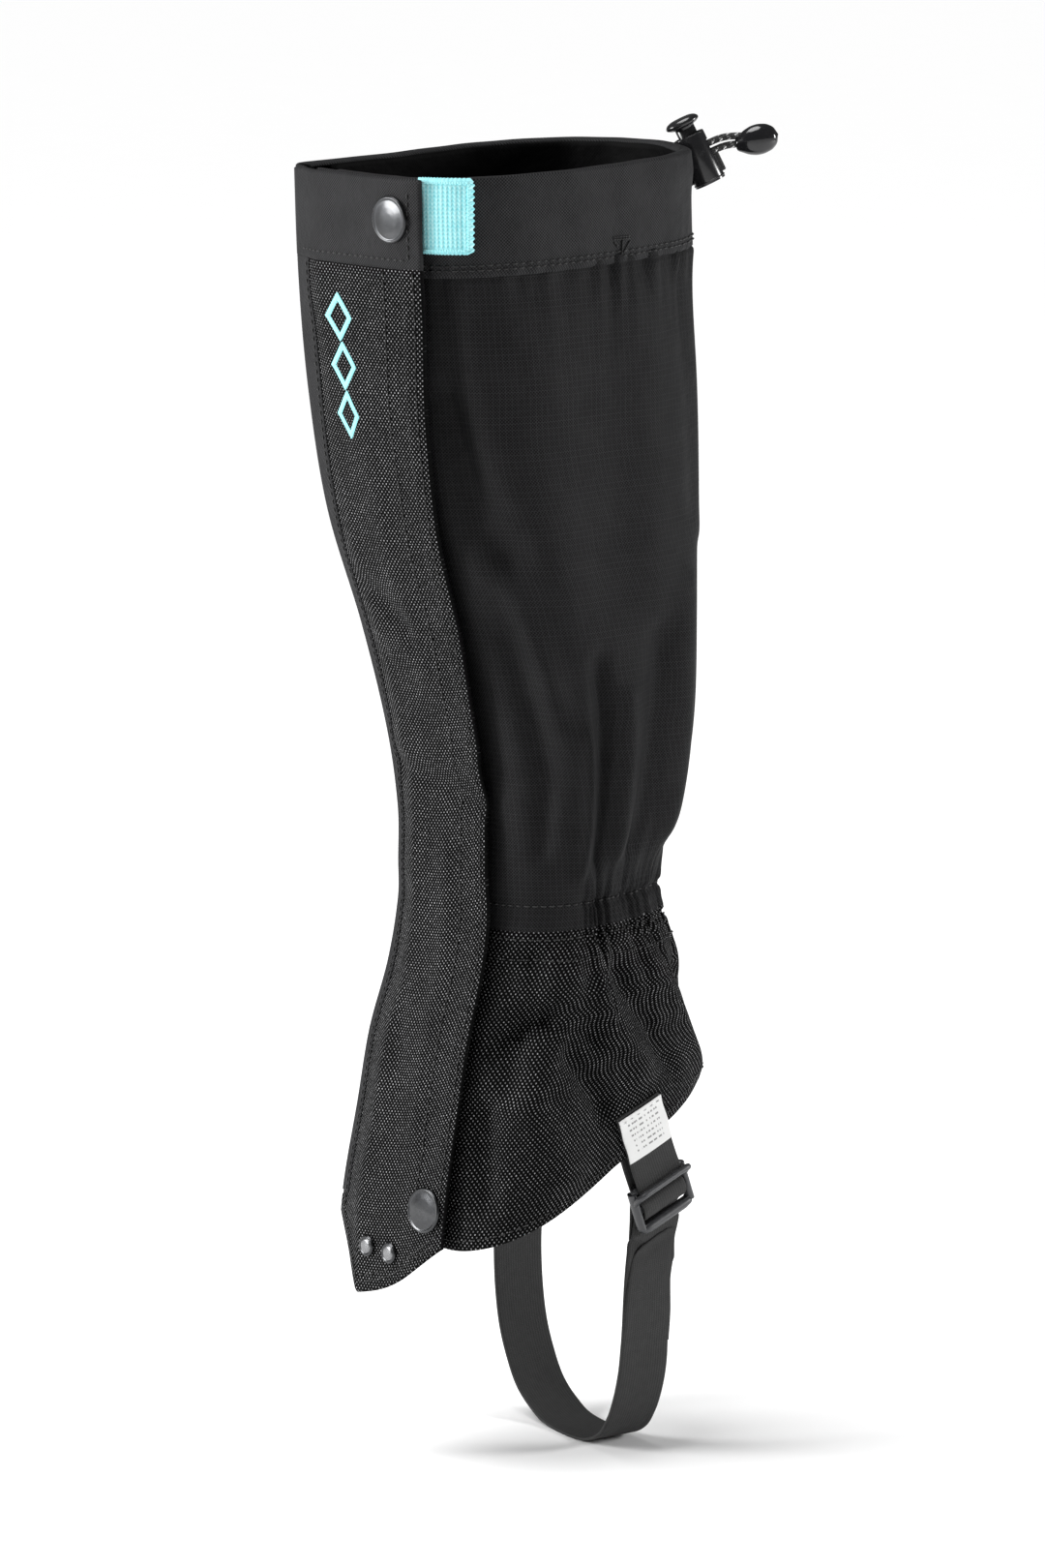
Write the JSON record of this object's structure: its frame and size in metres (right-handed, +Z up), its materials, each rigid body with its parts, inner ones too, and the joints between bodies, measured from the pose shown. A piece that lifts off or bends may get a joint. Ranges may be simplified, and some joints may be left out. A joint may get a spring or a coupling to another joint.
{
  "type": "mountaineering gaiter",
  "caption": "Knee-high fabric gaiter with a hook-and-loop storm flap, elastic ankle, drawcord collar, lace hook and ladder-buckle instep strap.",
  "frame": {"origin": "on the leg's axis, level with the middle of the elastic ankle line", "axes": "+Z up the leg, -Y to the toe, +X to the outer side of a left leg"},
  "size_m": [0.1048, 0.174, 0.5049],
  "materials": {
    "light_cloth": "fine plain weave with a raised grid, matt",
    "heavy_cloth": "coarse basket weave, matt",
    "webbing": "ribbed woven webbing, matt",
    "bright_webbing": "ribbed woven webbing, matt",
    "tape": "hook and loop pile and woven tape, matt",
    "cord": "braided sheath with pale flecks, matt",
    "label_cloth": "smooth satin woven label",
    "gunmetal": "glossy dark coated brass",
    "nickel": "satin nickel-plated steel",
    "grey_plastic": "satin moulded plastic",
    "black_plastic": "polished moulded plastic"
  },
  "bodies": {
    "sleeve": {"upper_panel_outer": "light_cloth", "upper_panel_inner": "light_cloth", "lower_panel_outer": "heavy_cloth", "lower_panel_inner": "heavy_cloth", "collar_band": "light_cloth", "collar_facing": "light_cloth", "collar_drawcord": "cord", "ankle_elastic": "tape", "ankle_casing": "light_cloth", "sleeve_loop_tape": "tape", "top_snap_stud": "nickel", "top_snap_eyelet": "nickel", "foot_snap_stud": "nickel", "foot_snap_eyelet": "nickel", "buckle_anchor_strap": "webbing", "care_label": "label_cloth", "instep_strap": "webbing", "lock_anchor_tab": "webbing", "lock_barrel": "black_plastic", "lock_spring": "nickel", "cord_end_upper": "cord", "cord_end_lower": "cord"},
    "storm_flap": {"storm_flap": "heavy_cloth", "flap_collar": "light_cloth", "flap_lining": "heavy_cloth", "flap_hook_tape": "tape", "top_snap_cap": "gunmetal", "top_snap_socket": "nickel", "foot_snap_cap": "gunmetal", "foot_snap_socket": "nickel", "lace_hook": "nickel", "hook_rivet_inner": "nickel", "hook_rivet_outer": "nickel"},
    "pull_tab": {"pull_tab": "bright_webbing"},
    "lock_button": {"lock_button": "black_plastic"},
    "cord_bead": {"cord_bead": "black_plastic"},
    "strap_buckle": {"strap_buckle": "grey_plastic", "instep_strap_top_loop": "webbing"}
  },
  "joints": [
    {"name": "flap_opening", "type": "hinge", "parent": "sleeve", "child": "storm_flap", "pos_m": [-0.044, -0.0441, 0], "axis": [0, 0.0398, -0.9992], "range_deg": [0, 95]},
    {"name": "pull_tab_bend", "type": "hinge", "parent": "storm_flap", "child": "pull_tab", "pos_m": [0.0248, -0.0758, 0.2635], "axis": [0, 0, -1], "range_deg": [0, 85]},
    {"name": "lock_button_press", "type": "slide", "parent": "sleeve", "child": "lock_button", "axis": [0.2818, 0.3358, -0.8988], "range_m": [0, 0.003], "stiffness_N_per_m": 300, "springref_m": -0.003, "deforming": ["lock_spring"]},
    {"name": "cord_draw", "type": "slide", "parent": "sleeve", "child": "cord_bead", "axis": [0.6209, 0.7399, 0.259], "range_m": [0, 0.03], "deforming": ["cord_end_upper", "cord_end_lower"]},
    {"name": "buckle_tilt", "type": "hinge", "parent": "sleeve", "child": "strap_buckle", "pos_m": [0.048, 0.021, -0.1026], "axis": [0, -0.9397, -0.342], "range_deg": [-10, 30]}
  ]
}
